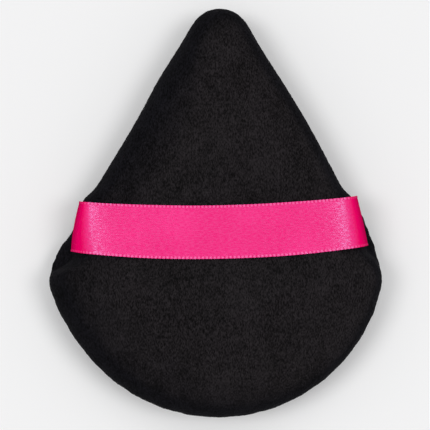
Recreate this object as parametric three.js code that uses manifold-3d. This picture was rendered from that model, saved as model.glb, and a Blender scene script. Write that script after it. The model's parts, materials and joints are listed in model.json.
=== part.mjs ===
// A powder puff: a teardrop pad of black velour over a foam core, with a satin ribbon across it that
// fingers slip under. It lies on its powder side. +Z is up through the ribbon, +Y points to the
// narrow tip, and the origin is under the middle of the pad on the surface it rests on.
// Lengths are in millimetres.
import * as THREE from "three";
import { mergeGeometries, mergeVertices } from "three/addons/utils/BufferGeometryUtils.js";
import Module from "manifold-3d";

const wasm = await Module();
wasm.setup();
const { degToRad, lerp, smoothstep } = THREE.MathUtils;

// Outline of the pad, seen from above
const padLength = 78;
const tipRadius = 6.8;
const flareDepth = 2.15; // how far the line of each straight side runs inside its shoulder's circle
const flareRadius = 5; // hollow curve where each side meets its shoulder
const shoulderRadius = 17;
const shoulderTilt = degToRad(12); // where the heel's arc tightens into the shoulder, below level
const heelRadius = 31.9;

// Section of the pad
const strapCrown = 6.7; // height of the strap side above the rim seam
const powderCrown = 6.6; // depth of the powder side below it, before it is flattened
const restDepth = 0.5; // how much of the powder side is flattened where the pad rests
const crownFullness = 5; // power of the section's curve: 2 is an ellipse, more is fuller

// Velour panels, their turned-in edges and the foam between them
const velourThickness = 1.2;
const seamAllowance = 1.6; // of the turned-in edges beyond their stitches
const seamGap = 0.3; // between the two turned-in edges
const fitGap = 0.3; // between neighbouring pieces

// Satin ribbon
const ribbonWidth = 10;
const ribbonThickness = 0.3;
const ribbonY = -3.6; // of its centre line at the middle of the pad
const ribbonBend = 246; // radius of its centre line, whose ends lie nearer the tip
const tailLength = 3.6; // of each end, in plan, from the rim in to the loose middle
const tailMargin = 2.5; // beside each end, before the seam closes again over as much
const ribbonPress = 0.8; // depth of the valley that the ribbon presses across the pad
const pressReach = 7; // how far from its centre line it presses
const ribbonPull = 3.9; // how far its taut ends draw the rim in
const pullReach = 4.4; // how far along the rim they draw it in
const pullShift = 3.3; // from the centre line towards the heel, where they draw it in most

// Seam threads
const threadDiameter = 0.25;
const threadGap = 0.12; // between the two threads, and from each to the cloth
const stitchLength = 5;
const endShare = 0.25; // of a stitch, by which each thread runs on past its last hole
const turningGap = 24; // stretch at the heel that is closed by hand

// How finely the curves are faceted
const heelSteps = 8;
const shoulderSteps = 8;
const flareSteps = 2;
const sideSteps = 3;
const tipSteps = 4;
const outerShares = [1, 0.985, 0.945, 0.87, 0.74, 0.56, 0.34, 0.15];
const innerShares = [1, 0.965, 0.89, 0.7, 0.36];
const acrossSteps = 6;
const spanSteps = 22;
const shoulderShares = [1, 0.98, 0.92, 0.8, 0.6, 0.32, 0];
const bulgeShare = 0.4; // height at which the powder side has its full reach, past the drawn-in seam
const halvings = 40;
const threadSides = 4;
const holeSides = 4;

// Sizes that follow from these
const seamZ = powderCrown - restDepth;
const threadRadius = threadDiameter / 2;
const threadLoop = threadDiameter + threadGap; // from a stitch's middle to each leg of its loop
const needleHole = threadLoop + Math.SQRT2 * (threadRadius + threadGap);
const ribbonOffset = ribbonThickness / 2 + fitGap; // of the ribbon's middle surface from the velour
const holeHalf = ribbonOffset + velourThickness + threadGap;
const threadRise = holeHalf + threadRadius;
const threadEnd = endShare * stitchLength;
const grooveHalf = threadRise + threadRadius + fitGap;
const foamInset = velourThickness + fitGap;
const crown = new THREE.Vector2(0, ribbonY); // the pad's highest point, which its rings surround

function pointOnCircle(centre, radius, angle) {
  return new THREE.Vector2(Math.cos(angle), Math.sin(angle)).multiplyScalar(radius).add(centre);
}

function arc(centre, radius, from, to, steps) {
  return Array.from({ length: steps }, (_, i) => pointOnCircle(centre, radius, lerp(from, to, i / steps)));
}

// The right half runs up from the heel: heel, shoulder, flare, straight side, tip
function outline() {
  const heel = new THREE.Vector2(0, heelRadius - padLength / 2);
  const tip = new THREE.Vector2(0, padLength / 2 - tipRadius);
  const shoulder = pointOnCircle(heel, heelRadius - shoulderRadius, -shoulderTilt);

  // The side touches the tip's circle and one that is smaller than the shoulder's by the flare's depth
  const toShoulder = shoulder.clone().sub(tip);
  const touching = Math.acos((tipRadius + flareDepth - shoulderRadius) / toShoulder.length());
  const sideTilt = toShoulder.angle() + touching - 2 * Math.PI;
  const outward = new THREE.Vector2(Math.cos(sideTilt), Math.sin(sideTilt));
  const sideTop = pointOnCircle(tip, tipRadius, sideTilt);

  // The flare touches the side and the shoulder's circle from outside
  const fromShoulder = shoulderRadius - flareDepth + flareRadius;
  const rise = Math.sqrt((shoulderRadius + flareRadius) ** 2 - fromShoulder ** 2);
  const up = new THREE.Vector2(-outward.y, outward.x);
  const flare = shoulder.clone().addScaledVector(outward, fromShoulder).addScaledVector(up, rise);
  const sideEnd = flare.clone().addScaledVector(outward, -flareRadius);
  const toFlare = flare.clone().sub(shoulder).angle();

  const right = [
    ...arc(heel, heelRadius, -Math.PI / 2, -shoulderTilt, heelSteps),
    ...arc(shoulder, shoulderRadius, -shoulderTilt, toFlare, shoulderSteps),
    ...arc(flare, flareRadius, toFlare - Math.PI, sideTilt - Math.PI, flareSteps),
    ...Array.from({ length: sideSteps }, (_, i) => sideEnd.clone().lerp(sideTop, i / sideSteps)),
    ...arc(tip, tipRadius, sideTilt, Math.PI / 2, tipSteps),
  ];
  const left = right.slice(1).map((p) => new THREE.Vector2(-p.x, p.y));
  return [...right, new THREE.Vector2(0, padLength / 2), ...left.reverse()];
}

// Distance from the ribbon's centre line, which is an arc in plan, and what it does to the pad there
const ribbonCentre = new THREE.Vector2(0, ribbonY + ribbonBend);

function offRibbon(x, y) {
  return ribbonBend - ribbonCentre.distanceTo(new THREE.Vector2(x, y));
}

function pressAt(x, y) {
  return ribbonPress * Math.exp(-((offRibbon(x, y) / pressReach) ** 2));
}

function pullAt(x, y) {
  return ribbonPull * Math.exp(-(((offRibbon(x, y) + pullShift) / pullReach) ** 2));
}

// The section's curve: height as a share of the crown at a share of the reach, and its inverse
function heightShare(share) {
  return Math.sqrt(1 - share ** crownFullness);
}

function reachShare(height) {
  return (1 - height ** 2) ** (1 / crownFullness);
}

// How far a side's face stands off the seam at its crown, where the ribbon presses as at the point
function sideDepth(side, out, x, y) {
  return (side > 0 ? strapCrown - pressAt(x, y) : powderCrown) + out;
}

// The stitches run as near the rim as the needle's loops clear the strap side's inner face
function stitchInset(reach, x, y) {
  const depth = sideDepth(1, -velourThickness, x, y);
  const clear = reachShare((threadRise + threadRadius + fitGap) / depth);
  return reach - clear * (reach - velourThickness) + threadLoop + threadRadius + fitGap;
}

// Each rim point: its direction from the crown, the pad's full reach there, and the seam's, which
// the ribbon draws in. The turned-in edges stand further apart where the ribbon's ends go between.
const rim = outline().map((p) => {
  const fullReach = p.distanceTo(crown);
  const reach = fullReach - pullAt(p.x, p.y);
  const besideTail = Math.abs(offRibbon(p.x, p.y)) - ribbonWidth / 2;
  const closed = smoothstep(besideTail, tailMargin, 2 * tailMargin);
  const stitched = stitchInset(reach, p.x, p.y);
  return {
    plan: p,
    direction: p.clone().sub(crown).normalize(),
    fullReach,
    reach,
    halfGap: lerp(ribbonOffset, seamGap / 2, closed),
    stitched,
    edge: stitched + seamAllowance,
  };
});

function seamReach(x, y) {
  const direction = new THREE.Vector2(x, y).sub(crown).normalize();
  for (let i = 0; i < rim.length; i += 1) {
    const a = rim[i].direction.clone().multiplyScalar(rim[i].reach);
    const next = rim[(i + 1) % rim.length];
    const b = next.direction.clone().multiplyScalar(next.reach);
    if (a.cross(direction) >= 0 && direction.cross(b) > 0) {
      return a.cross(b) / direction.cross(b.sub(a));
    }
  }
  return rim[0].reach;
}

// One point of a surface that lies out from the velour's outer face, on side +1 (strap) or -1 (powder)
function padPoint(rimPoint, side, share, out) {
  const height = heightShare(share);
  const fuller = side > 0 ? 0 : smoothstep(height, 0, bulgeShare);
  const reach = lerp(rimPoint.reach, rimPoint.fullReach, fuller) + out;
  const plan = rimPoint.direction.clone().multiplyScalar(share * reach).add(crown);
  const z = seamZ + side * height * sideDepth(side, out, plan.x, plan.y);
  return new THREE.Vector3(plan.x, plan.y, Math.max(z, 0));
}

function padRing(side, out, startHeight, share) {
  return rim.map((p) => {
    const start = startHeight(p) / sideDepth(side, out, p.plan.x, p.plan.y);
    return padPoint(p, side, share * reachShare(start), out);
  });
}

function flatRing(inset, height) {
  return rim.map((p) => {
    const plan = p.direction.clone().multiplyScalar(p.reach - inset(p)).add(crown);
    return new THREE.Vector3(plan.x, plan.y, seamZ + height(p));
  });
}

function crownPoint(side, out) {
  return [padPoint(rim[0], side, 0, out)];
}

function indexed(points, triangles) {
  const geometry = new THREE.BufferGeometry().setFromPoints(points);
  geometry.setIndex(new THREE.BufferAttribute(new Uint32Array(triangles), 1));
  return geometry;
}

// Skins rings of equal count from one pole to another. Seen from outside, each ring runs
// anticlockwise about the first pole.
function ringSolid(rings, flipped) {
  const points = rings.flat();
  const triangles = [];
  const add = (a, b, c) => triangles.push(...(flipped ? [a, c, b] : [a, b, c]));
  let first = 0;
  for (let k = 0; k + 1 < rings.length; k += 1) {
    const second = first + rings[k].length;
    for (let i = 0; i < rim.length; i += 1) {
      const j = (i + 1) % rim.length;
      if (rings[k].length === 1) add(first, second + i, second + j);
      else if (rings[k + 1].length === 1) add(first + i, second, first + j);
      else {
        add(first + i, second + i, second + j);
        add(first + i, second + j, first + j);
      }
    }
    first = second;
  }
  return indexed(points, triangles);
}

function toSolid(geometry) {
  const { position } = geometry.attributes;
  const triVerts = new Uint32Array(geometry.index.array);
  return new wasm.Manifold(new wasm.Mesh({ numProp: 3, vertProperties: position.array, triVerts }));
}

function toGeometry(solid) {
  const mesh = solid.getMesh();
  const geometry = new THREE.BufferGeometry();
  geometry.setAttribute("position", new THREE.BufferAttribute(mesh.vertProperties, 3));
  geometry.setIndex(new THREE.BufferAttribute(mesh.triVerts, 1));
  return geometry;
}

// The stitches are spaced evenly round the seam, starting and ending at the middle of the heel
function seamStitches() {
  const ring = flatRing((p) => p.stitched, () => 0);
  const path = new THREE.Path().setFromPoints([...ring, ring[0]].map((p) => new THREE.Vector2(p.x, p.y)));
  const length = path.getLength();
  const count = Math.round(length / stitchLength);
  return Array.from({ length: count }, (_, k) => {
    const at = (k + 0.5) / count;
    const place = path.getPoint(at);
    const along = path.getTangent(at);
    const byHand = Math.min(at, 1 - at) * length < turningGap / 2;
    return { place, along, across: new THREE.Vector2(along.y, -along.x), byHand };
  });
}

const stitches = seamStitches();

// One needle hole at each stitch, through both turned-in edges and the ribbon's ends
function needleHoles() {
  const holes = stitches.map(({ place, along }) => {
    const hole = new THREE.CylinderGeometry(needleHole, needleHole, 2 * holeHalf, holeSides);
    hole.deleteAttribute("normal");
    hole.deleteAttribute("uv");
    return hole.rotateX(Math.PI / 2).rotateZ(along.angle()).translate(place.x, place.y, seamZ);
  });
  return toSolid(mergeVertices(mergeGeometries(holes)));
}

const holes = needleHoles();

// A panel's outer face, its edge turned in at the rim, and its inner face
function velourPanel(side) {
  const lower = (p) => p.halfGap;
  const upper = (p) => p.halfGap + velourThickness;
  const outer = outerShares.map((share) => padRing(side, 0, lower, share)).reverse();
  const inner = innerShares.map((share) => padRing(side, -velourThickness, upper, share));
  const turnedIn = [lower, upper].map((height) => flatRing((p) => p.edge, (p) => side * height(p)));
  const rings = [crownPoint(side, 0), ...outer, ...turnedIn, ...inner, crownPoint(side, -velourThickness)];
  return toGeometry(toSolid(ringSolid(rings, side < 0)).subtract(holes));
}

// The foam fills the panels. Round its edge is the groove that the turned-in edges press into it.
function foamCore() {
  const lip = () => grooveHalf;
  const face = (side) => innerShares.map((share) => padRing(side, -foamInset, lip, share));
  const floor = [1, -1].map((side) => flatRing((p) => p.edge + fitGap, () => side * grooveHalf));
  const top = [crownPoint(1, -foamInset), ...face(1).reverse()];
  const bottom = [...face(-1), crownPoint(-1, -foamInset)];
  return ringSolid([...top, ...floor, ...bottom], false);
}

// A cloth strip of one thickness about a grid of points, rows along it and columns across it
function stripSolid(grid) {
  const rows = grid.length;
  const columns = grid[0].length;
  const normalAt = (r, c) => {
    const along = grid[Math.min(r + 1, rows - 1)][c].clone().sub(grid[Math.max(r - 1, 0)][c]);
    const across = grid[r][Math.min(c + 1, columns - 1)].clone().sub(grid[r][Math.max(c - 1, 0)]);
    return along.cross(across).normalize();
  };
  const face = (offset) =>
    grid.flatMap((row, r) => row.map((p, c) => p.clone().addScaledVector(normalAt(r, c), offset)));
  const points = [...face(ribbonThickness / 2), ...face(-ribbonThickness / 2)];
  const under = rows * columns;
  const triangles = [];
  const quad = (a, b, c, d) => triangles.push(a, b, c, a, c, d);
  for (let r = 0; r + 1 < rows; r += 1) {
    for (let c = 0; c + 1 < columns; c += 1) {
      const a = r * columns + c;
      quad(a, a + columns, a + columns + 1, a + 1);
      quad(under + a, under + a + 1, under + a + columns + 1, under + a + columns);
    }
    const left = r * columns;
    const right = left + columns - 1;
    quad(left, under + left, under + left + columns, left + columns);
    quad(right, right + columns, under + right + columns, under + right);
  }
  for (let c = 0; c + 1 < columns; c += 1) {
    const last = under - columns + c;
    quad(c, c + 1, under + c + 1, under + c);
    quad(last, under + last, under + last + 1, last + 1);
  }
  return indexed(points, triangles);
}

// A point of the ribbon in plan: turned about the bend's centre, and off the centre line
function ribbonPlan(turn, off) {
  return pointOnCircle(ribbonCentre, ribbonBend - off, turn - Math.PI / 2);
}

// The turn at which a line along the ribbon crosses the seam, or a line out from it, found by halving
function turnAtRim(side, off, outAt) {
  let near = 0;
  let far = Math.asin(padLength / 2 / ribbonBend);
  for (let i = 0; i < halvings; i += 1) {
    const middle = (near + far) / 2;
    const plan = ribbonPlan(side * middle, off);
    const reach = seamReach(plan.x, plan.y);
    if (plan.distanceTo(crown) < reach + outAt(reach, plan.x, plan.y)) near = middle;
    else far = middle;
  }
  return side * near;
}

// The ribbon's middle surface where it lies on the velour
function ribbonOnPad(turn, off) {
  const plan = ribbonPlan(turn, off);
  const share = Math.min(plan.distanceTo(crown) / (seamReach(plan.x, plan.y) + ribbonOffset), 1);
  const z = seamZ + heightShare(share) * sideDepth(1, ribbonOffset, plan.x, plan.y);
  return new THREE.Vector3(plan.x, plan.y, z);
}

const acrossRibbon = Array.from(
  { length: acrossSteps + 1 },
  (_, i) => lerp(-ribbonWidth / 2, ribbonWidth / 2, i / acrossSteps),
);

const spanTurn = turnAtRim(1, 0, () => 0) - tailLength / ribbonBend;

function ribbonSpan() {
  const turns = Array.from({ length: spanSteps + 1 }, (_, i) => lerp(-spanTurn, spanTurn, i / spanSteps));
  return stripSolid(turns.map((turn) => acrossRibbon.map((off) => ribbonOnPad(turn, off))));
}

// An end of the ribbon: from between the turned-in edges, out of the seam and up over the shoulder
function ribbonTail(side) {
  const top = side * (spanTurn + fitGap / ribbonBend);
  const cutEnd = (reach, x, y) => fitGap - seamAllowance - stitchInset(reach, x, y);
  const sewn = [cutEnd, (reach, x, y) => -stitchInset(reach, x, y), () => 0].map((outAt) =>
    acrossRibbon.map((off) => {
      const plan = ribbonPlan(turnAtRim(side, off, outAt), off);
      return new THREE.Vector3(plan.x, plan.y, seamZ);
    }),
  );
  const overShoulder = shoulderShares.map((share) =>
    acrossRibbon.map((off) => ribbonOnPad(lerp(top, turnAtRim(side, off, () => ribbonOffset), share), off)),
  );
  const rows = [...sewn, ...overShoulder];
  const strip = stripSolid(side > 0 ? rows.reverse() : rows);
  return toGeometry(toSolid(strip).subtract(holes));
}

// A thread along a path of straight runs, mitred at its corners
function threadSolid(path) {
  const runs = path.slice(1).map((p, i) => p.clone().sub(path[i]).normalize());
  const sideways = new THREE.Vector3(runs[0].y, -runs[0].x, 0).normalize(); // the first run is level
  const rings = [
    Array.from({ length: threadSides }, (_, i) => {
      const offset = sideways.clone().applyAxisAngle(runs[0], (2 * Math.PI * i) / threadSides);
      return offset.multiplyScalar(threadRadius).add(path[0]);
    }),
  ];
  runs.forEach((run, k) => {
    const corner = path[k + 1];
    const mitre = run.clone().add(runs[k + 1] ?? run);
    const slide = (p) => corner.clone().sub(p).dot(mitre) / run.dot(mitre);
    rings.push(rings[k].map((p) => p.clone().addScaledVector(run, slide(p))));
  });
  const triangles = [];
  for (let k = 0; k + 1 < rings.length; k += 1) {
    for (let i = 0; i < threadSides; i += 1) {
      const a = k * threadSides + i;
      const b = k * threadSides + ((i + 1) % threadSides);
      triangles.push(a, b, b + threadSides, a, b + threadSides, a + threadSides);
    }
  }
  const last = (rings.length - 1) * threadSides;
  for (let i = 1; i + 1 < threadSides; i += 1) {
    triangles.push(0, i + 1, i, last, last + i, last + i + 1);
  }
  return indexed(rings.flat(), triangles);
}

function at(plan, direction, distance, height) {
  const p = plan.clone().addScaledVector(direction, distance);
  return new THREE.Vector3(p.x, p.y, seamZ + height);
}

// A lockstitch thread runs from hole to hole outside its own panel's edge. In each hole it loops
// through the other thread: the needle's loop lies across the seam and the bobbin's along it.
function lockstitchThread(side) {
  const sewn = stitches.filter((stitch) => !stitch.byHand);
  const rise = side * threadRise;
  const hook = -side * (threadRadius + threadGap / 2);
  const path = sewn.flatMap(({ place, along, across }) => {
    const way = side > 0 ? across : along;
    return [
      at(place, way, -threadLoop, rise),
      at(place, way, -threadLoop, hook),
      at(place, way, threadLoop, hook),
      at(place, way, threadLoop, rise),
    ];
  });
  const first = sewn[0];
  const last = sewn[sewn.length - 1];
  path.unshift(at(first.place, first.along, -threadEnd - threadLoop, rise));
  path.push(at(last.place, last.along, threadEnd + threadLoop, rise));
  return threadSolid(path);
}

// The closing thread is a running stitch by hand: over, down, under and up
function closingThread() {
  const byHand = stitches.filter((stitch) => stitch.byHand);
  const order = [...byHand.slice(byHand.length / 2), ...byHand.slice(0, byHand.length / 2)];
  const path = order.flatMap(({ place, along }, k) => {
    const from = k % 2 ? -threadRise : threadRise;
    return [at(place, along, 0, from), at(place, along, 0, -from)];
  });
  const first = order[0];
  const last = order[order.length - 1];
  const lastHeight = order.length % 2 ? -threadRise : threadRise;
  path.unshift(at(first.place, first.along, -threadEnd, threadRise));
  path.push(at(last.place, last.along, threadEnd, lastHeight));
  return threadSolid(path);
}

const velour = { color: 0x1c1a1c, roughness: 0.95, metalness: 0 };
const foam = { color: 0xe9dfc9, roughness: 0.9, metalness: 0 };
const satin = { color: 0xf73c89, roughness: 0.35, metalness: 0 };
const thread = { color: 0x161416, roughness: 0.7, metalness: 0 };

function piece(name, geometry, finish) {
  const mesh = new THREE.Mesh(geometry, new THREE.MeshStandardMaterial(finish));
  mesh.name = name;
  return mesh;
}

const pad = new THREE.Group();
pad.add(
  piece("strap_side_panel", velourPanel(1), velour),
  piece("powder_side_panel", velourPanel(-1), velour),
  piece("foam_core", foamCore(), foam),
  piece("ribbon_tail_left", ribbonTail(-1), satin),
  piece("ribbon_tail_right", ribbonTail(1), satin),
  piece("needle_thread", lockstitchThread(1), thread),
  piece("bobbin_thread", lockstitchThread(-1), thread),
  piece("closing_thread", closingThread(), thread),
);

const puff = new THREE.Group();
puff.add(pad, piece("ribbon_span", ribbonSpan(), satin));

export default puff;
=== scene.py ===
from contextlib import contextmanager
import json
import math

import bmesh
import bpy
import numpy as np
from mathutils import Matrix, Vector
from mathutils.bvhtree import BVHTree


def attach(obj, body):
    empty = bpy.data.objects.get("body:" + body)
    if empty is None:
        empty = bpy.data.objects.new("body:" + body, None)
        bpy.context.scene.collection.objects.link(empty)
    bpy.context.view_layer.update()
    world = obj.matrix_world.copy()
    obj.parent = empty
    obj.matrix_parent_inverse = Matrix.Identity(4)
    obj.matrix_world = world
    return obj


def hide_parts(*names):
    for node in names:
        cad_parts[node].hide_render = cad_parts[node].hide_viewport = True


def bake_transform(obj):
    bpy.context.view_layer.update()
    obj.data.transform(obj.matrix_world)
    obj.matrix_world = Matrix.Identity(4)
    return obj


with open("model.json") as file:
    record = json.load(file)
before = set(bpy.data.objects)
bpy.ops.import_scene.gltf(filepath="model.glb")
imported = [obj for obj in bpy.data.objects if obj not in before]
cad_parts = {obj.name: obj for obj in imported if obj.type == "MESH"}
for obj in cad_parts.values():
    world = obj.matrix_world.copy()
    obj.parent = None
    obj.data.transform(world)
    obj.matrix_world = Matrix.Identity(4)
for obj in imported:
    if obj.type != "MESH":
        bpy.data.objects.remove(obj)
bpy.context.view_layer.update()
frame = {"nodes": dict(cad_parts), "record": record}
scene = bpy.context.scene
mm = 0.001
samePoint = 0.001 * mm  # points this near each other are one
onPlane = 0.01 * mm  # a point this near a plane lies on it
for spare in ("Cube", "Light", "Camera"):
    if spare in bpy.data.objects:
        bpy.data.objects.remove(bpy.data.objects[spare])
print("frame loaded:", len(frame["nodes"]), "solids")


def pick(*pieces):
    bpy.ops.object.select_all(action="DESELECT")
    for piece in pieces:
        piece.select_set(True)
    bpy.context.view_layer.objects.active = pieces[0]


# Edit mode on one piece, with all of it selected
@contextmanager
def editing(piece):
    pick(piece)
    bpy.ops.object.mode_set(mode="EDIT")
    bpy.ops.mesh.select_all(action="SELECT")
    yield
    bpy.ops.object.mode_set(mode="OBJECT")


def selectOpenEdges(piece):
    mesh = bmesh.from_edit_mesh(piece.data)
    for face in mesh.faces:
        face.select_set(False)
    for edge in mesh.edges:
        edge.select_set(edge.is_boundary)
    bmesh.update_edit_mesh(piece.data)


def flipFaces(piece):
    with editing(piece):
        bpy.ops.mesh.flip_normals()


def applyModifier(piece, kind, **settings):
    pick(piece)
    modifier = piece.modifiers.new(kind.title(), kind)
    for key, value in settings.items():
        setattr(modifier, key, value)
    bpy.ops.object.modifier_apply(modifier=modifier.name)


def smooth(piece, rounds):
    applyModifier(piece, "SMOOTH", factor=0.5, iterations=rounds)


def subdivide(piece, levels):
    applyModifier(piece, "SUBSURF", levels=levels, render_levels=levels)


# A cloudy grain pushed out of a piece's surface, and into it where the grain is under the level
def roughen(piece, size, depth, level):
    grain = bpy.data.textures.new(piece.name + "Grain", "CLOUDS")
    grain.noise_scale = size
    applyModifier(
        piece, "DISPLACE",
        texture=grain, strength=depth, mid_level=level, texture_coords="LOCAL",
    )


def vectorsOf(rows, key):
    flat = np.empty(len(rows) * 3)
    rows.foreach_get(key, flat)
    return flat.reshape(-1, 3)


def pointsOf(piece):
    return vectorsOf(piece.data.vertices, "co")


def normalsOf(piece):
    return vectorsOf(piece.data.vertex_normals, "vector")


def movePoints(piece, points):
    piece.data.vertices.foreach_set("co", points.ravel())
    piece.data.update()


# One piece made of copies of the solids, with their loose triangles merged
def solidCopy(name, *nodes):
    copies = [duplicate(frame["nodes"][node], name) for node in nodes]
    pick(*copies)
    if len(copies) > 1:
        bpy.ops.object.join()
    joined = bpy.context.view_layer.objects.active
    with editing(joined):
        bpy.ops.mesh.remove_doubles(threshold=samePoint)
    joined.data.materials.clear()
    return joined


def duplicate(piece, name):
    copy = bpy.data.objects.new(name, piece.data.copy())
    scene.collection.objects.link(copy)
    return copy


def smoothstep(value, low, high):
    t = np.clip((value - low) / (high - low), 0, 1)
    return t * t * (3 - 2 * t)


def stepsOf(line):
    return np.linalg.norm(np.diff(line, axis=0), axis=1)


# Length along a line at each of its points
def runOf(line):
    return np.concatenate([[0], np.cumsum(stepsOf(line))])


# A socket in a shader: Python's operators on it add Math nodes
class Wire:
    def __init__(self, finish, socket):
        self.finish = finish
        self.socket = socket

    def math(self, operation, *others):
        return self.finish.math(operation, self, *others)

    def __add__(self, other):
        return self.math("ADD", other)

    def __radd__(self, other):
        return self.math("ADD", other)

    def __sub__(self, other):
        return self.math("SUBTRACT", other)

    def __rsub__(self, other):
        return self.finish.math("SUBTRACT", other, self)

    def __mul__(self, other):
        return self.math("MULTIPLY", other)

    def __rmul__(self, other):
        return self.math("MULTIPLY", other)

    def __truediv__(self, other):
        return self.math("DIVIDE", other)


# The shader nodes of one material, or of the world
class Finish:
    def __init__(self, name, owner=None):
        self.owner = owner or bpy.data.materials.new(name)
        self.owner.use_nodes = True
        self.tree = self.owner.node_tree
        self.tree.nodes.clear()

    # A node of any kind: its settings go first, then its sockets' values or links
    def node(self, kind, settings=None, sockets=None, output=0):
        made = self.tree.nodes.new(kind)
        for name, value in (settings or {}).items():
            setattr(made, name, value)
        for name, value in (sockets or {}).items():
            if isinstance(value, Wire):
                self.tree.links.new(value.socket, made.inputs[name])
            else:
                made.inputs[name].default_value = value
        return Wire(self, made.outputs[output]) if made.outputs else None

    def math(self, operation, *values):
        return self.node("ShaderNodeMath", {"operation": operation}, dict(enumerate(values)))

    # Sockets 6 and 7 of the Mix node are its two colours, and output 2 is the mixed one
    def mix(self, share, first, second):
        sockets = {0: share, 6: first, 7: second}
        return self.node("ShaderNodeMix", {"data_type": "RGBA"}, sockets, 2)

    def place(self):
        return self.node("ShaderNodeTexCoord", output="Object")

    def attribute(self, name):
        return self.node("ShaderNodeAttribute", {"attribute_name": name}, None, "Fac")

    def noise(self, size, detail=2.0, roughness=0.5, distortion=0.0, vector=None):
        sockets = {
            "Vector": vector or self.place(),
            "Scale": 1 / size,
            "Detail": detail,
            "Roughness": roughness,
            "Distortion": distortion,
        }
        return self.node("ShaderNodeTexNoise", None, sockets)

    def between(self, value, low, high):
        sockets = {0: value, 1: low, 2: high}
        settings = {"interpolation_type": "SMOOTHSTEP", "clamp": True}
        return self.node("ShaderNodeMapRange", settings, sockets)

    def bump(self, height, depth, strength):
        sockets = {"Height": height, "Distance": depth, "Strength": strength}
        return self.node("ShaderNodeBump", None, sockets)

    def mixShaders(self, share, first, second):
        return self.node("ShaderNodeMixShader", None, {0: share, 1: first, 2: second})

    def principled(self, **sockets):
        named = {key.replace("_", " "): value for key, value in sockets.items()}
        return self.node("ShaderNodeBsdfPrincipled", None, named)

    def show(self, shader, output="ShaderNodeOutputMaterial"):
        self.node(output, None, {"Surface": shader})
        return self.owner


pile = {
    "stretch": (1, 0.4, 1),  # it lies along the pad, so its fibres are drawn out that way
    "fibre": 0.2 * mm,
    "tuft": 0.42 * mm,
    "clump": 2.6 * mm,
    "stroke": 12 * mm,  # where a finger has brushed it
    "mottling": (0.35, 0.70),  # the grain at which it is darkest and palest
    # darkest and palest colours of the faces, and of the walls, which are darker as painted shade
    "face": ((0.0024, 0.0021, 0.0023, 1), (0.0232, 0.0200, 0.0221, 1)),
    "wall": ((0.0003, 0.0003, 0.0006, 1), (0.0085, 0.0080, 0.0108, 1)),
    "facing": (0.80, 0.995),  # how level a place is where the walls' painted shade ends, and is gone
    "lean": 0.2,  # tilts the painted shade so that the left wall is darker than the right
    "sheen": 0.012,
    "sheenTint": (0.84, 0.86, 1.0, 1),
    "bumpDepth": 0.2 * mm,
    "napSize": 0.55 * mm,
    "napDepth": 0.16 * mm,
    "clear": 0.05 * mm,  # between it and the ribbon's underside
}


def velourFinish():
    velour = Finish("velourPile")
    stretched = {"Vector": velour.place(), "Scale": pile["stretch"]}
    lying = velour.node("ShaderNodeMapping", None, stretched)
    fibres = velour.noise(pile["fibre"], detail=1, vector=lying)
    tufts = velour.noise(pile["tuft"], roughness=0.6, distortion=0.2, vector=lying)
    clumps = velour.noise(pile["clump"], distortion=0.4)
    strokes = velour.noise(pile["stroke"], distortion=1.2)
    grain = fibres * 0.5 + tufts * 0.24 + clumps * 0.13 + strokes * 0.13
    lightness = velour.between(grain, *pile["mottling"])
    # Painted shade: the walls, turned away from the lamps, get darker colours than the faces, and
    # the left wall darker than the right
    wall = velour.mix(lightness, *pile["wall"])
    face = velour.mix(lightness, *pile["face"])
    litShare = velour.between(velour.attribute("facing"), *pile["facing"])
    return velour.show(velour.principled(
        Base_Color=velour.mix(litShare, wall, face),
        Roughness=0.95,
        Specular_IOR_Level=0.07,
        Sheen_Weight=pile["sheen"],
        Sheen_Roughness=0.4,
        Sheen_Tint=pile["sheenTint"],
        Normal=velour.bump(fibres * 0.5 + tufts * 0.5, pile["bumpDepth"], 0.9),
    ))


weave = {
    "width": 10 * mm,
    "yarnPitch": 0.21 * mm,
    "pickPitch": 0.24 * mm,
    "satinCount": 8.0,  # each warp yarn dips under one weft yarn in so many
    "satinStep": 3,  # picks between the dips of neighbouring yarns
    # how many streaks and glints there are to a metre, along and across
    "streaks": (260, 5200),
    "glints": (1100, 4200),
    "glintContrast": (0.36, 0.64),
    "soft": 1.8 * mm,  # sizes of the soft and the broad patches
    "broad": 9 * mm,
    "broadContrast": (0.3, 0.7),
    "edgeWidth": 0.55 * mm,
    "edgeFade": 0.3,  # share of it over which it begins
    "loopPitch": 0.73 * mm,
    "loopInset": 0.25 * mm,
    "loopReach": (0.24 * mm, 0.1 * mm),  # across, where a loop begins to show and is full
    "loopWave": (0.25, 0.75),  # the same along, from 0 midway between loops to 1 on one
    "gapWave": (0.45, 0.05),
    "deep": (0.85, 0.012, 0.180, 1),
    "bright": (1.0, 0.040, 0.270, 1),
    # painted shade in the dips of the weave and in the gaps between the edge loops
    "recessShade": (0.56, 0.003, 0.09, 1),
    "shade": (0.88, 0.0, 0.130, 1),  # painted shade past the crease
    "seamShade": (0.52, 0.0, 0.075, 1),  # darker painted shade where it runs into the seam
    "pale": (1.0, 0.17, 0.44, 1),
    "glossTint": (0.12, 0.62, 1.0, 1),  # the gloss on the floats is cooler than the dye
    "gloss": 0.54,
    "glossLost": 0.53,  # past the crease
    "glossEven": 0.35,  # the part that is even, and the part that the glints bring
    "glossGlints": 1.3,
    "bumpDepth": 0.05 * mm,
}


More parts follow.
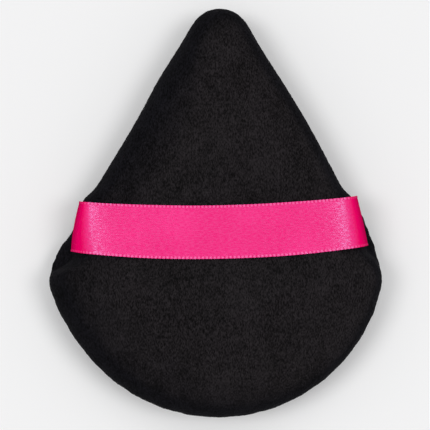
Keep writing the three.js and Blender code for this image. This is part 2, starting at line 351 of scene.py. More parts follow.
def satinFinish():
    satin = Finish("satinWeave")
    uv = satin.node("ShaderNodeUVMap", {"uv_map": "cloth"})
    along = satin.node("ShaderNodeSeparateXYZ", None, {0: uv}, 0)
    across = satin.node("ShaderNodeSeparateXYZ", None, {0: uv}, 1)

    def drawnOut(counts, detail, roughness):
        place = {0: along * counts[0], 1: across * counts[1]}
        vector = satin.node("ShaderNodeCombineXYZ", None, place)
        return satin.noise(1.0, detail, roughness, vector=vector)

    # Warp yarns run along the ribbon, and dip where the satin's order says
    yarn = across / weave["yarnPitch"]
    pickRow = along / weave["pickPitch"]
    yarnRound = satin.math("SINE", yarn * math.tau) * 0.5 + 0.5
    order = satin.math("FLOOR", yarn) * weave["satinStep"] + satin.math("FLOOR", pickRow)
    turn = satin.math("FLOORED_MODULO", order, weave["satinCount"])
    dip = satin.math("COMPARE", turn, 0.0, 0.5)
    streak = drawnOut(weave["streaks"], 2, 0.5)
    soft = satin.noise(weave["soft"])
    broad = satin.between(satin.noise(weave["broad"], detail=1), *weave["broadContrast"])
    glints = satin.between(drawnOut(weave["glints"], 3, 0.65), *weave["glintContrast"])

    # The woven edge: a pale loop of weft at each pick, just inside the border, with painted shade
    # in the gaps between loops
    halfWidth = weave["width"] / 2
    offCentre = satin.math("ABSOLUTE", across - halfWidth)
    border = halfWidth - weave["edgeWidth"]
    inEdge = border + weave["edgeFade"] * weave["edgeWidth"]
    edge = satin.between(offCentre, border, inEdge)
    loops = satin.math("COSINE", along * (math.tau / weave["loopPitch"])) * 0.5 + 0.5
    rowOff = satin.math("ABSOLUTE", offCentre - (halfWidth - weave["loopInset"]))
    inRow = satin.between(rowOff, *weave["loopReach"])
    loop = satin.between(loops, *weave["loopWave"]) * inRow
    gap = edge * satin.between(loops, *weave["gapWave"])

    # Past the crease the colour deepens as painted shade and the gloss goes,
    # and where the ribbon runs into the seam, the painted shade is darker still
    downTurn = satin.attribute("turned")
    turned = satin.math("MINIMUM", downTurn, 1.0)
    toSeam = satin.math("MAXIMUM", downTurn - 1, 0.0)
    tone = streak * 0.2 + soft * 0.2 + broad * 0.3 + glints * 0.3
    ground = satin.mix(tone, weave["deep"], weave["bright"])
    # the dips and the gaps between edge loops are darkened as painted shade
    for share, colour in (
        (dip * 0.16, "recessShade"),
        (turned, "shade"),
        (toSeam, "seamShade"),
        (gap * (0.35 - turned * 0.2), "recessShade"),
        (loop * (0.6 - turned * 0.4), "pale"),
    ):
        ground = satin.mix(share, ground, weave[colour])

    height = yarnRound * 0.3 - dip * 0.3 + streak * 0.3 + glints * 0.4
    dull = satin.principled(
        Base_Color=ground,
        Roughness=0.6,
        Specular_IOR_Level=0.0,
        Normal=satin.bump(height, weave["bumpDepth"], 0.8),
    )
    glossy = satin.principled(
        Base_Color=ground,
        Roughness=0.27,
        Specular_IOR_Level=0.95,
        Specular_Tint=weave["glossTint"],
        Normal=satin.bump(height, weave["bumpDepth"], 0.15),
    )
    shine = glints * weave["glossGlints"] + weave["glossEven"]
    gloss = (weave["gloss"] - turned * weave["glossLost"]) * shine
    return satin.show(satin.mixShaders(gloss, dull, glossy))


core = {
    "cell": 0.6 * mm,
    "cloud": 6 * mm,
    "deep": (0.62, 0.52, 0.36, 1),
    "pale": (0.86, 0.80, 0.66, 1),
    "bumpDepth": 0.2 * mm,
    "voxel": 0.8 * mm,
    "smoothing": 3,
    "poreSize": 1.1 * mm,
    "poreDepth": 0.25 * mm,
    "poreLevel": 0.9,  # most of the grain goes inwards, as pores
}


def foamFinish():
    foam = Finish("openCellFoam")
    scaled = {"Vector": foam.place(), "Scale": 1 / core["cell"]}
    walls = foam.between(foam.node("ShaderNodeTexVoronoi", None, scaled), 0.1, 0.55)
    tone = walls * 0.6 + foam.noise(core["cloud"]) * 0.4
    return foam.show(foam.principled(
        Base_Color=foam.mix(tone, core["deep"], core["pale"]),
        Roughness=0.9,
        Normal=foam.bump(walls, core["bumpDepth"], 0.8),
    ))


strand = {
    "twist": 1.2 * mm,
    "tilt": (0.6, 0.5, 0.4),
    "lint": 0.2 * mm,
    "deep": (0.004, 0.0035, 0.004, 1),
    "pale": (0.014, 0.012, 0.014, 1),
    "bumpDepth": 0.05 * mm,
    "rounding": 2,  # the solids' threads are four-sided, and these are round
    "fluff": 0.04 * mm,
    "under": 0.6 * mm,  # how far under the ribbon's surface they pass
}


def threadFinish():
    thread = Finish("spunThread")
    tilted = {"Vector": thread.place(), "Rotation": strand["tilt"]}
    twist = thread.node(
        "ShaderNodeTexWave",
        {"wave_type": "BANDS", "bands_direction": "DIAGONAL"},
        {
            "Vector": thread.node("ShaderNodeMapping", None, tilted),
            "Scale": 1 / strand["twist"],
            "Distortion": 2.0,
        },
    )
    lint = thread.noise(strand["lint"], detail=3)
    return thread.show(thread.principled(
        Base_Color=thread.mix(twist * 0.5 + lint * 0.5, strand["deep"], strand["pale"]),
        Roughness=0.7,
        Normal=thread.bump(twist + lint, strand["bumpDepth"], 0.6),
    ))


finishes = {
    "velour": velourFinish(),
    "satin": satinFinish(),
    "foam": foamFinish(),
    "thread": threadFinish(),
}
for row in frame["record"]["subparts"]:
    solid = frame["nodes"][row["node"]]
    solid.data.materials.clear()
    solid.data.materials.append(finishes[row["material_slot"]])
print("finishes made:", ", ".join(finishes))


def dress(piece, slotName):
    piece.data.materials.clear()
    piece.data.materials.append(finishes[slotName])


seamHeight = 6.1 * mm
crown = np.array([0, -3.6 * mm])  # the pad's highest point in plan
ribbon = {
    "thickness": 0.3 * mm,
    "bend": 246 * mm,  # radius of its centre line in plan
    "turn": math.radians(1.1),  # its right end lies a little nearer the tip
    "rise": 6.45 * mm,  # of its middle surface above the seam, at the middle of the pad
    "dome": 4,  # power of its curve over the top
    "domeReach": 30.5 * mm,  # where that curve would come down to the seam
    "fold": 0.45 * mm,  # radius where it leaves the seam and turns up
    "hidden": 4.0 * mm,  # length of each end inside the seam
    # Each end, from the edge nearer the heel to the edge nearer the tip: how far it reaches,
    # how wide its face is that slopes from the crease to the seam, and how sharp the crease is
    "left": {
        "reach": (27.7 * mm, 27.6 * mm, 26.9 * mm),
        "face": (3.0 * mm, 0.9 * mm),
        "crease": (12, 22),
    },
    "right": {
        "reach": (28.1 * mm, 27.75 * mm, 27.2 * mm),
        "face": (1.9 * mm, 1.3 * mm),
        "crease": (16, 17),
    },
    "sideways": 1.6,  # how far past its edges the ends' shapes go on, in half widths
    "curveSteps": 900,
    "foldSteps": 24,
    "rowPitch": 0.12 * mm,
    "columns": 30,
    "columnPower": 1.7,  # over 1, the columns are finer at the woven edges
    "narrowing": {"by": 0.035, "from": 0.3, "to": 0.75},  # shares of the way to the end
    "scallop": 0.03 * mm,
    "scallopFrom": 0.955,  # share of the half width
    # the crimson painted shade begins this far before the crease and is full this far before
    # mid-face
    "shadeFrom": 1.4 * mm,
    "shadeFull": 0.6 * mm,
    "seamShade": 1.5 * mm,  # the last stretch before the seam, where the painted shade is darker still
    "endFrom": 0.6,  # share of the way from which the end's colours are looked for
    "hiddenFrom": 0.86,  # share of the way from which it is surely inside the seam
    "thinShare": 0.66,  # thickness between the woven edges, as a share of theirs
    "edgeFrom": (0.9, 0.97),  # shares of the half width over which the edge thickens
    "edgeEven": 0.35,  # how much of that is there between the loops too
    "smoothAngle": math.radians(50),
}


# Plan point to (length along the ribbon, distance off its centre line towards the tip)
def toRibbon(x, y):
    c, s = math.cos(ribbon["turn"]), math.sin(ribbon["turn"])
    dx, dy = x - crown[0], y - crown[1]
    px, py = dx * c + dy * s, dy * c - dx * s
    far = np.hypot(px, ribbon["bend"] - py)
    return np.arctan2(px, ribbon["bend"] - py) * ribbon["bend"], ribbon["bend"] - far


def fromRibbon(along, off):
    angle = along / ribbon["bend"]
    px = (ribbon["bend"] - off) * np.sin(angle)
    py = ribbon["bend"] - (ribbon["bend"] - off) * np.cos(angle)
    c, s = math.cos(ribbon["turn"]), math.sin(ribbon["turn"])
    return crown[0] + px * c - py * s, crown[1] + px * s + py * c


# At a place across the ribbon: how far it reaches, how wide its sloping face is
# and how sharp its crease is
def ribbonEnd(along, off):
    share = np.clip(2 * off / weave["width"], -ribbon["sideways"], ribbon["sideways"])
    ends = []
    for end in (ribbon["left"], ribbon["right"]):
        heel, middle, tip = end["reach"]
        reach = middle + share * (tip - heel) / 2 + share ** 2 * ((tip + heel) / 2 - middle)
        face, sharp = (
            (heel + tip) / 2 + share * (tip - heel) / 2
            for heel, tip in (end["face"], end["crease"])
        )
        ends.append((reach, face, sharp))
    return [np.where(along > 0, right, left) for left, right in zip(*ends)]


# Under 1 beneath the ribbon's curve and over 1 outside it; room widens the curve
def ribbonMeasure(along, height, off, room=0.0):
    reach, face, sharp = ribbonEnd(along, off)
    power = ribbon["dome"]
    reach, rise, domeReach = reach + room, ribbon["rise"] + room, ribbon["domeReach"] + room
    top = ((height / rise) ** power + (np.abs(along) / domeReach) ** power) ** (1 / power)
    creaseHeight = rise * (1 - ((reach - face) / domeReach) ** power) ** (1 / power)
    trim = (1 - (reach / domeReach) ** sharp) ** (1 / sharp)
    slope = (reach - trim * (reach - face)) / creaseHeight
    side = (trim * np.abs(along) + slope * height) / reach
    return (top ** sharp + side ** sharp) ** (1 / sharp)


pad = {
    "voxel": 0.95 * mm,
    "smoothing": 6,
    "simScale": 10,
    "frames": 20,
    "cloth": {
        "quality": 5,
        "mass": 0.3,
        "tension_stiffness": 15,
        "compression_stiffness": 15,
        "shear_stiffness": 5,
        "bending_stiffness": 0.5,
        "use_pressure": True,
        "uniform_pressure_force": 0.9,
    },
    "cap": 0.5 * mm,
    "calm": 10,  # rounds of smoothing that take out the smallest wrinkles
    "grow": 0.5 * mm,  # the pile stands proud of the panels' cut size
    "growPower": 4,  # how little of that growth reaches in from the rim
    "growFrom": 1 * mm,  # within this of the crown it fades out
    "levels": [level * mm for level in (-4.2, -3.0, -1.8, -0.7, 0.7, 1.8, 3.0, 4.2)],
    "castFrom": 0.1,  # from the crown, well outside the pad
    "bearings": 720,
    "outlineSteps": 1600,
    "outlineWindow": 40,  # steps each way over which it is evened out
    "outlineSpread": 1.0 * mm,
    "bankReach": 6 * mm,
    "ribbonBank": 0.22 / mm,  # how fast the pile climbs beside the ribbon's edges
    "drawnDepth": 1.5 * mm,  # how far below the seam the ribbon's ends still draw the pad in
    "pucker": 0.05 * mm,
    "puckerPitch": 2.9 * mm,
    "puckerHeight": 1.5 * mm,
    # the puckers wander and fade in waves round the pad: the size, count and start of each
    "puckerWander": ((0.9, 5, 0), (0.6, 11, 1.7)),
    "puckerMean": 0.6,
    "puckerFade": ((0.4, 3, 0.6),),
    "groove": 0.35 * mm,
    "grooveHeight": 0.3 * mm,
    "rimFrom": 12 * mm,  # nothing nearer the crown is gathered
    "fineSmoothing": 2,
    "wall": 1.2 * mm,
    "liningDrop": 0.3 * mm,
    "turnedIn": 3.9 * mm,
    "turnSteps": (0.06, 0.3, 0.64),  # shares of it
    "liningTurn": 0.7,  # share of it that the lining turns in
    "liningSteps": (0.5, 0.5),
    "edgeGap": 0.13 * mm,  # half the gap between the two turned-in edges
    "ribbonGap": 0.38 * mm,  # the same where the ribbon's end lies between them
    "gapFade": (1.5 * mm, 4 * mm),  # beside the ribbon's end, from the one gap to the other
    # where this puff isn't even: how far it stands out, centre and spread along the pad
    "lean": (0.6 * mm, 17 * mm, 11 * mm),  # to the right
    "tip": {"from": 24 * mm, "to": 37 * mm, "narrower": 0.08, "right": 0.3 * mm},
    "leftSide": ((1.0 * mm, -13 * mm, 8.5 * mm), (-1.5 * mm, -2.8 * mm, 3.4 * mm)),
    "rightSide": ((-0.35 * mm, -2.0 * mm, 3.0 * mm),),
    "sideways": (8 * mm, 29 * mm),  # from the middle, where a side begins and where it is full
}


# Where the pile would stand through the ribbon, it is pressed in along the ribbon's curve.
# The ribbon's ends draw the powder side in too, less and less below the seam.
def pressUnderRibbon(points, deeper=0.0):
    x, y, z = points.T
    along, off = toRibbon(x, y)
    beside = np.maximum(np.abs(off) - weave["width"] / 2, 0)
    room = beside ** 2 * pad["ribbonBank"] - ribbon["thickness"] / 2 - pile["clear"] - deeper
    height = z - seamHeight
    measure = ribbonMeasure(along, np.maximum(height, 0), off, room)
    through = (measure > 1) & (beside < pad["bankReach"])
    drawn = 1 - smoothstep(-height, 0, pad["drawnDepth"])
    k = 1 + np.where(through, drawn * (1 / np.maximum(measure, 1) - 1), 0)
    newX, newY = fromRibbon(along * k, off)
    newZ = seamHeight + np.where(height > 0, height * k, height)
    return np.where(through[:, None], np.stack([newX, newY, newZ], 1), points)


def lieOnFloor(points):
    points = points.copy()
    points[:, 2] = np.maximum(points[:, 2], 0)
    return points


# Evenly spaced bearings round the crown, for which the pad's reach is found
bearings = np.linspace(-math.pi, math.pi, pad["bearings"], endpoint=False)


def reachAt(piece, height):
    tree = BVHTree.FromPolygons(
        [v.co for v in piece.data.vertices], [list(p.vertices) for p in piece.data.polygons]
    )
    found = []
    for bearing in bearings:
        out = Vector((math.cos(bearing), math.sin(bearing), 0))
        start = Vector((*crown, height)) + out * pad["castFrom"]
        found.append(pad["castFrom"] - tree.ray_cast(start, -out)[3])
    return np.array(found)


def sortedPairs(keys, values):
    order = np.argsort(keys)
    return keys[order], values[order]


# Evens out the corners that the solids' facets leave in an outline
def smoothOutline(reach):
    outline = crown + np.stack([np.cos(bearings), np.sin(bearings)], 1) * reach[:, None]
    closed = np.concatenate([outline, outline[:1]])
    run = runOf(closed)
    even = np.linspace(0, run[-1], pad["outlineSteps"], endpoint=False)
    wing = pad["outlineWindow"]
    away = np.arange(-wing, wing + 1) * even[1]
    window = np.exp(-0.5 * (away / pad["outlineSpread"]) ** 2)
    window /= window.sum()
    soft = []
    for axis in (0, 1):
        values = np.interp(even, run, closed[:, axis])
        wrapped = np.concatenate([values[-wing:], values, values[:wing]])
        soft.append(np.convolve(wrapped, window, "valid") - crown[axis])
    x, y = soft
    return np.interp(bearings, *sortedPairs(np.arctan2(y, x), np.hypot(x, y)), period=math.tau)


# A piece's reach at each level above and below the seam
def sectionOf(piece):
    reaches = [reachAt(piece, seamHeight + level) for level in pad["levels"]]
    return np.array([smoothOutline(reach) for reach in reaches])


# Brings the soft form's sides back out to the solids', which remeshing and smoothing draw in
def matchSection(piece, target):
    points = pointsOf(piece)
    x, y = points[:, 0] - crown[0], points[:, 1] - crown[1]
    bearing, reach = np.arctan2(y, x), np.hypot(x, y)
    now = sectionOf(piece)
    level = np.interp(points[:, 2] - seamHeight, pad["levels"], np.arange(len(pad["levels"])))
    edge, short = np.zeros_like(reach), np.zeros_like(reach)
    for i in range(len(pad["levels"])):
        near = np.maximum(1 - np.abs(level - i), 0)
        edge += near * np.interp(bearing, bearings, now[i], period=math.tau)
        short += near * np.interp(bearing, bearings, target[i] - now[i], period=math.tau)
    growth = short * np.minimum(reach / edge, 1) ** pad["growPower"]
    growth /= np.maximum(reach, pad["growFrom"])
    points[:, 0] += x * growth
    points[:, 1] += y * growth
    movePoints(piece, points)


def bulgeAt(y, bulge):
    out, centre, spread = bulge
    return out * np.exp(-(((y - centre) / spread) ** 2))


def lopside(piece):
    points = pointsOf(piece)
    atTip = smoothstep(points[:, 1], pad["tip"]["from"], pad["tip"]["to"])
    points[:, 0] *= 1 - pad["tip"]["narrower"] * atTip
    x, y = points[:, 0].copy(), points[:, 1]
    points[:, 0] += bulgeAt(y, pad["lean"]) + pad["tip"]["right"] * atTip
    for side, bulges in ((-1, pad["leftSide"]), (1, pad["rightSide"])):
        for bulge in bulges:
            points[:, 0] += side * bulgeAt(y, bulge) * smoothstep(side * x, *pad["sideways"])
    movePoints(piece, points)


sectionGuide = solidCopy("sectionGuide", "strap_side_panel", "powder_side_panel")
sectionTarget = sectionOf(sectionGuide) + pad["grow"]
bpy.data.objects.remove(sectionGuide)


def makePadForm():
    form = solidCopy("padForm", "strap_side_panel", "powder_side_panel", "foam_core")
    applyModifier(form, "REMESH", mode="VOXEL", voxel_size=pad["voxel"])
    smooth(form, pad["smoothing"])
    with editing(form):
        bpy.ops.mesh.bisect(plane_co=(0, 0, seamHeight), plane_no=(0, 0, 1), threshold=onPlane)
    return form


# Blows the form up with the seam held, as filling does
def inflate(form):
    rest = pointsOf(form)
    onSeam = np.abs(rest[:, 2] - seamHeight) < onPlane
    pins = form.vertex_groups.new(name="seam")
    pins.add([int(i) for i in np.nonzero(onSeam)[0]], 1.0, "REPLACE")
    movePoints(form, rest * pad["simScale"])
    pick(form)
    cloth = form.modifiers.new("Cloth", "CLOTH")
    for key, value in pad["cloth"].items():
        setattr(cloth.settings, key, value)
    cloth.settings.vertex_group_mass = pins.name
    cloth.settings.effector_weights.gravity = 0
    cloth.point_cache.frame_start = 1
    cloth.point_cache.frame_end = pad["frames"]
    for step in range(1, pad["frames"] + 1):
        scene.frame_set(step)
    bpy.ops.object.modifier_apply(modifier=cloth.name)
    scene.frame_set(1)
    form.vertex_groups.clear()
    moved = pointsOf(form) / pad["simScale"] - rest
    size = np.linalg.norm(moved, axis=1)
    print("the pad swelled by up to", round(size.max() / mm, 2), "mm")
    moved *= np.minimum(1, pad["cap"] / np.maximum(size, 1e-9))[:, None]
    movePoints(form, rest + moved)
    smooth(form, pad["calm"])


# How level each place is, tilted to the right, for the velour's painted shade
def markLightFacing(form):
    outward = normalsOf(form)
    facing = form.data.attributes.new("facing", "FLOAT", "POINT")
    facing.data.foreach_set("value", np.abs(outward[:, 2]) + pile["lean"] * outward[:, 0])


padForm = makePadForm()
print("pad form:", len(padForm.data.vertices), "points")
inflate(padForm)
matchSection(padForm, sectionTarget)
lopside(padForm)
markLightFacing(padForm)
movePoints(padForm, lieOnFloor(pressUnderRibbon(pointsOf(padForm))))

fineForm = duplicate(padForm, "fineForm")
subdivide(fineForm, 1)
smooth(fineForm, pad["fineSmoothing"])
movePoints(fineForm, lieOnFloor(pressUnderRibbon(pointsOf(fineForm))))
subdivide(fineForm, 1)
print("fine form:", len(fineForm.data.polygons), "faces")


# Bearing of each point of the rim, the seam's length up to it, and the whole seam's length
def seamTable(points):
    rim = points[np.abs(points[:, 2] - seamHeight) < samePoint]
    angle = np.arctan2(rim[:, 1] - crown[1], rim[:, 0] - crown[0])
    order = np.argsort(angle)
    rim, angle = rim[order], angle[order]
    steps = np.linalg.norm(np.roll(rim, -1, 0) - rim, axis=1)
    return angle, np.concatenate([[0], np.cumsum(steps[:-1])]), steps.sum()


def waves(bearing, rows):
    return sum(size * np.sin(count * bearing + start) for size, count, start in rows)


# The seam draws the pile into a groove, with small puckers along it
def gatherSeam(points):
    angle, lengths, around = seamTable(points)
    toCrown = points[:, :2] - crown
    reach = np.linalg.norm(toCrown, axis=1)
    bearing = np.arctan2(toCrown[:, 1], toCrown[:, 0])
    place = np.interp(bearing, angle, lengths, period=math.tau)
    off = np.abs(points[:, 2] - seamHeight)
    count = round(around / pad["puckerPitch"])
    wander = waves(bearing, pad["puckerWander"])
    wave = 0.5 + 0.5 * np.cos(math.tau * count * place / around + wander)
    strength = pad["puckerMean"] + waves(bearing, pad["puckerFade"])
    inward = pad["pucker"] * wave * strength * np.exp(-(off / pad["puckerHeight"]) ** 2)
    inward += pad["groove"] * np.exp(-off / pad["grooveHeight"])
    inward *= reach > pad["rimFrom"]
    moved = points.copy()
    moved[:, :2] -= toCrown / np.maximum(reach, 1e-9)[:, None] * inward[:, None]
    return moved


# The part of a form above the cut, or below it where the side is -1
def halfPad(name, source, side, cut):
    half = duplicate(source, name)
    with editing(half):
        bpy.ops.mesh.bisect(
            plane_co=(0, 0, cut), plane_no=(0, 0, side), threshold=onPlane, clear_inner=True
        )
    return half


def edgeGapAt(x, y):
    off = abs(toRibbon(x, y)[1])
    start, end = (weave["width"] / 2 + fade for fade in pad["gapFade"])
    near = 1 - float(smoothstep(off, start, end))
    return pad["edgeGap"] + near * (pad["ribbonGap"] - pad["edgeGap"])


# Folds the open edge in along the seam: the pile turns the corner and runs in
# under the ribbon's ends, and the lining does so behind it
def turnIn(half, side, behind, length, steps):
    middle = Vector(crown)
    with editing(half):
        selectOpenEdges(half)
        for share in steps:
            bpy.ops.mesh.extrude_edges_move()
            mesh = bmesh.from_edit_mesh(half.data)
            for vertex in mesh.verts:
                if vertex.select:
                    out = vertex.co.xy - middle
                    vertex.co.xy = middle + out * (1 - share * length / out.length)
                    gap = edgeGapAt(vertex.co.x, vertex.co.y) + behind
                    vertex.co.z = seamHeight + side * gap
            bmesh.update_edit_mesh(half.data)


def makeSkin(name, side):
    skin = halfPad(name, fineForm, side, seamHeight)
    movePoints(skin, gatherSeam(pointsOf(skin)))
    roughen(skin, pile["napSize"], pile["napDepth"], 0.5)
    movePoints(skin, lieOnFloor(pressUnderRibbon(pointsOf(skin))))
    turnIn(skin, side, 0, pad["turnedIn"], pad["turnSteps"])
    return skin


def makeLining(name, side):
    cut = seamHeight + side * (pad["wall"] + pad["liningDrop"])
    lining = halfPad(name, padForm, side, cut)
    movePoints(lining, pointsOf(lining) - normalsOf(lining) * pad["wall"])
    turnedIn = pad["liningTurn"] * pad["turnedIn"]
    turnIn(lining, side, pad["wall"], turnedIn, pad["liningSteps"])
    flipFaces(lining)
    return lining


def makePanel(name, side, node):
    skin = makeSkin(name, side)
    lining = makeLining(name + "Lining", side)
    pick(skin, lining)
    bpy.ops.object.join()
    with editing(skin):
        selectOpenEdges(skin)
        bpy.ops.mesh.bridge_edge_loops()
        bpy.ops.mesh.select_all(action="SELECT")
        bpy.ops.mesh.normals_make_consistent(inside=False)
    bpy.ops.object.shade_smooth()
    dress(skin, "velour")
    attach(skin, "pad")
    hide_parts(node)
    print(name, len(skin.data.polygons), "faces")
    return skin


strapVelour = makePanel("strapVelour", 1, "strap_side_panel")
powderVelour = makePanel("powderVelour", -1, "powder_side_panel")
for spare in (padForm, fineForm):
    bpy.data.objects.remove(spare)


def makeFoam():
    foam = solidCopy("foamCore", "foam_core")
    applyModifier(foam, "REMESH", mode="VOXEL", voxel_size=core["voxel"])
    smooth(foam, core["smoothing"])
    lopside(foam)
    movePoints(foam, pressUnderRibbon(pointsOf(foam), pad["wall"]))
    roughen(foam, core["poreSize"], core["poreDepth"], core["poreLevel"])
    pick(foam)
    bpy.ops.object.shade_smooth()
    dress(foam, "foam")
    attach(foam, "pad")
    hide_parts("foam_core")
    print("foamCore", len(foam.data.polygons), "faces")


makeFoam()


# The line that one lengthwise thread follows, over the shoulder from the middle and into the seam
def ribbonLine(side, off):
    fold = ribbon["fold"]
    reach = float(ribbonEnd(side, off)[0])
    turn = np.linspace(0, math.pi / 2, ribbon["curveSteps"])
    along, height = np.sin(turn) * reach, np.cos(turn) * ribbon["rise"]
    scale = 1 / ribbonMeasure(side * along, height, off)
    over = np.stack([along * scale, fold + height * scale * (1 - fold / ribbon["rise"])], 1)
    bend = np.linspace(0, math.pi / 2, ribbon["foldSteps"])[1:]
    under = np.stack([reach - fold + np.cos(bend) * fold, fold - np.sin(bend) * fold], 1)
    end = np.array([[reach - fold - ribbon["hidden"], 0]])
    return np.concatenate([over, under, end])


# Mask of the ribbon's painted shade and lost gloss: 0 over the pad, 1 past the crease and 2 where
# the ribbon runs into the seam
def turnedDown(along, share, reach, face):
    shadeFrom, shadeFull = ribbon["shadeFrom"], ribbon["shadeFull"]
    pastCrease = smoothstep(along, reach - face - shadeFrom, reach - 0.5 * face - shadeFull)
    toSeam = smoothstep(along, reach - ribbon["seamShade"], reach)
    hidden = share > ribbon["hiddenFrom"]
    both = np.maximum(pastCrease, hidden) + np.maximum(toSeam, hidden)
    return np.where(share > ribbon["endFrom"], both, 0)


# Lays the flat strip over the pad, one lengthwise column of its points at a time.
# share is each point's share of the way from the middle to the end, and across runs
# from -1 to 1 between the woven edges.
def layOverPad(strip, side, share, across, loops):
    narrowing = ribbon["narrowing"]
    narrowed = narrowing["by"] * smoothstep(share, narrowing["from"], narrowing["to"])
    off = across * weave["width"] / 2 * (1 - narrowed)
    atEdge = smoothstep(np.abs(across), ribbon["scallopFrom"], 1.0)
    off += np.sign(across) * atEdge * loops * ribbon["scallop"]
    placed = np.empty((len(share), 3))
    turned = np.zeros(len(share))
    columns = np.round(across, 5)
    for column in np.unique(columns):
        here = columns == column
        columnOff = column * weave["width"] / 2 * (1 - narrowing["by"])
        line = ribbonLine(side, columnOff)
        run = runOf(line)
        along = np.interp(share[here] * run[-1], run, line[:, 0])
        height = np.interp(share[here] * run[-1], run, line[:, 1])
        x, y = fromRibbon(side * along, off[here])
        placed[here] = np.stack([x, y, seamHeight + height], 1)
        reach, face = ribbonEnd(side, columnOff)[:2]
        turned[here] = turnedDown(along, share[here], reach, face)
    movePoints(strip, placed)
    strip.data.attributes.new("turned", "FLOAT", "POINT").data.foreach_set("value", turned)


# Gives the strip its thickness, most at the loops of the woven edges
def thicken(strip, across, loops):
    thinShare, even = ribbon["thinShare"], ribbon["edgeEven"]
    thick = strip.vertex_groups.new(name="thickness")
    bulge = smoothstep(np.abs(across), *ribbon["edgeFrom"]) * (even + (1 - even) * loops)
    for i, value in enumerate(bulge):
        thick.add([i], thinShare + (1 - thinShare) * float(value), "REPLACE")
    applyModifier(
        strip, "SOLIDIFY",
        thickness=ribbon["thickness"] / thinShare, offset=0,
        vertex_group=thick.name, thickness_vertex_group=0,
    )
    strip.vertex_groups.clear()


def makeRibbonHalf(name, side, tail):
    length = stepsOf(ribbonLine(side, 0.0)).sum()
    rows = round(length / ribbon["rowPitch"])
    bpy.ops.object.select_all(action="DESELECT")
    bpy.ops.mesh.primitive_grid_add(
        x_subdivisions=rows, y_subdivisions=ribbon["columns"], size=1, calc_uvs=True
    )
    strip = bpy.context.active_object
    strip.name = name
    strip.data.uv_layers.active.name = "cloth"
    flat = pointsOf(strip)
    share = flat[:, 0] + 0.5
    across = flat[:, 1] * 2
    across = np.sign(across) * (1 - (1 - np.abs(across)) ** ribbon["columnPower"])
    loops = 0.5 + 0.5 * np.cos(math.tau * share * length / weave["loopPitch"])
    layOverPad(strip, side, share, across, loops)

    uvs = strip.data.uv_layers["cloth"].data
    for loop in strip.data.loops:
        i = loop.vertex_index
        uvs[loop.index].uv = (side * share[i] * length, (across[i] + 1) * weave["width"] / 2)

    if side < 0:
        flipFaces(strip)
    thicken(strip, across, loops)
    pick(strip)
    bpy.ops.object.shade_smooth_by_angle(angle=ribbon["smoothAngle"])
    dress(strip, "satin")
    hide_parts("ribbon_span", tail)
    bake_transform(strip)
    print(name, round(length / mm, 1), "mm long,", len(strip.data.polygons), "faces")


makeRibbonHalf("ribbonRight", 1, "ribbon_tail_right")
makeRibbonHalf("ribbonLeft", -1, "ribbon_tail_left")


def makeThread(name, node):
    thread = solidCopy(name, node)
    lopside(thread)
    movePoints(thread, pressUnderRibbon(pointsOf(thread), strand["under"]))
    subdivide(thread, strand["rounding"])
    applyModifier(thread, "DISPLACE", strength=strand["fluff"], mid_level=0)
    pick(thread)
    bpy.ops.object.shade_smooth()
    dress(thread, "thread")
    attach(thread, "pad")
    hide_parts(node)
    print(name, len(thread.data.polygons), "faces")


makeThread("needleThread", "needle_thread")
makeThread("bobbinThread", "bobbin_thread")
makeThread("closingThread", "closing_thread")


studio = {
    "floorSize": 6.0,
    "floorColour": (0.87, 0.87, 0.875, 1),
    "fleck": (0.76, 0.76, 0.76, 1),
    "fleckSize": 0.4 * mm,
    "skyColour": (0.88, 0.88, 0.885, 1),
    "fade": (0.25, 1.1),  # the floor turns into the backdrop over this distance
    "skyLight": 0.52,
    # where each lamp stands, how wide it looks and how strong it is
    "lamps": {
        "keyLamp": ((-0.52, 0.08, 0.85), 25, 0.79),
        "fillLamp": ((0.52, 0.05, 0.85), 25, 0.74),
        "topLamp": ((0.05, 0.50, 0.80), 40, 0.40),
    },
    "cameraLens": 120,
    "cameraSensor": 36,
    "cameraClip": (0.01, 10),
    "cameraAim": (-0.6 * mm, -0.4 * mm),
    "frameWidth": 82.7 * mm,
}


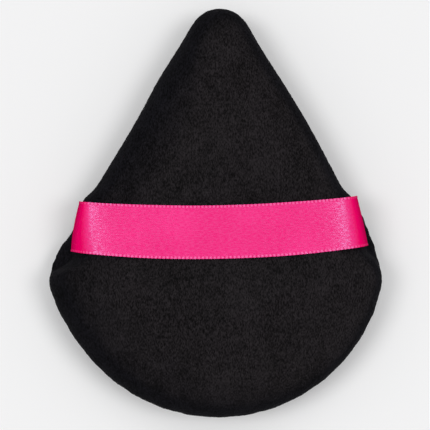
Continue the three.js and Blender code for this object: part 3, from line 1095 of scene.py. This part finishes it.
def makeFloor():
    bpy.ops.object.select_all(action="DESELECT")
    bpy.ops.mesh.primitive_plane_add(size=studio["floorSize"])
    floor = bpy.context.active_object
    floor.name = "studioFloor"
    paper = Finish("studioPaper")
    grain = paper.noise(studio["fleckSize"])
    colour = paper.mix(grain * 0.06, studio["floorColour"], studio["fleck"])
    lit = paper.principled(Base_Color=colour, Roughness=0.95, Specular_IOR_Level=0.1)
    far = paper.node("ShaderNodeEmission", None, {"Color": studio["skyColour"]})
    length = {"operation": "LENGTH"}
    distance = paper.node("ShaderNodeVectorMath", length, {0: paper.place()}, "Value")
    fade = paper.between(distance, *studio["fade"])
    seen = paper.node("ShaderNodeLightPath", output="Is Camera Ray")
    floor.data.materials.append(paper.show(paper.mixShaders(fade * seen, lit, far)))


def makeLamps():
    for name, (place, spread, strength) in studio["lamps"].items():
        light = bpy.data.lights.new(name, "SUN")
        light.angle = math.radians(spread)
        light.energy = strength
        lamp = bpy.data.objects.new(name, light)
        scene.collection.objects.link(lamp)
        lamp.rotation_euler = Vector(place).to_track_quat("Z", "Y").to_euler()


def makeSky():
    scene.world = bpy.data.worlds.new("studioSky")
    sky = Finish("studioSky", scene.world)
    light = {"Color": (1, 1, 1, 1), "Strength": studio["skyLight"]}
    lit = sky.node("ShaderNodeBackground", None, light)
    seen = sky.node("ShaderNodeBackground", None, {"Color": studio["skyColour"], "Strength": 1})
    ray = sky.node("ShaderNodeLightPath", output="Is Camera Ray")
    sky.show(sky.mixShaders(ray, lit, seen), "ShaderNodeOutputWorld")


def makeCamera():
    camera = bpy.data.objects.new("camera", bpy.data.cameras.new("camera"))
    scene.collection.objects.link(camera)
    camera.data.lens = studio["cameraLens"]
    camera.data.sensor_width = studio["cameraSensor"]
    camera.data.clip_start, camera.data.clip_end = studio["cameraClip"]
    away = studio["frameWidth"] * studio["cameraLens"] / studio["cameraSensor"]
    camera.location = (*studio["cameraAim"], seamHeight + away)
    scene.camera = camera


makeFloor()
makeLamps()
makeSky()
makeCamera()
scene.view_settings.view_transform = "Standard"
print("studio ready")
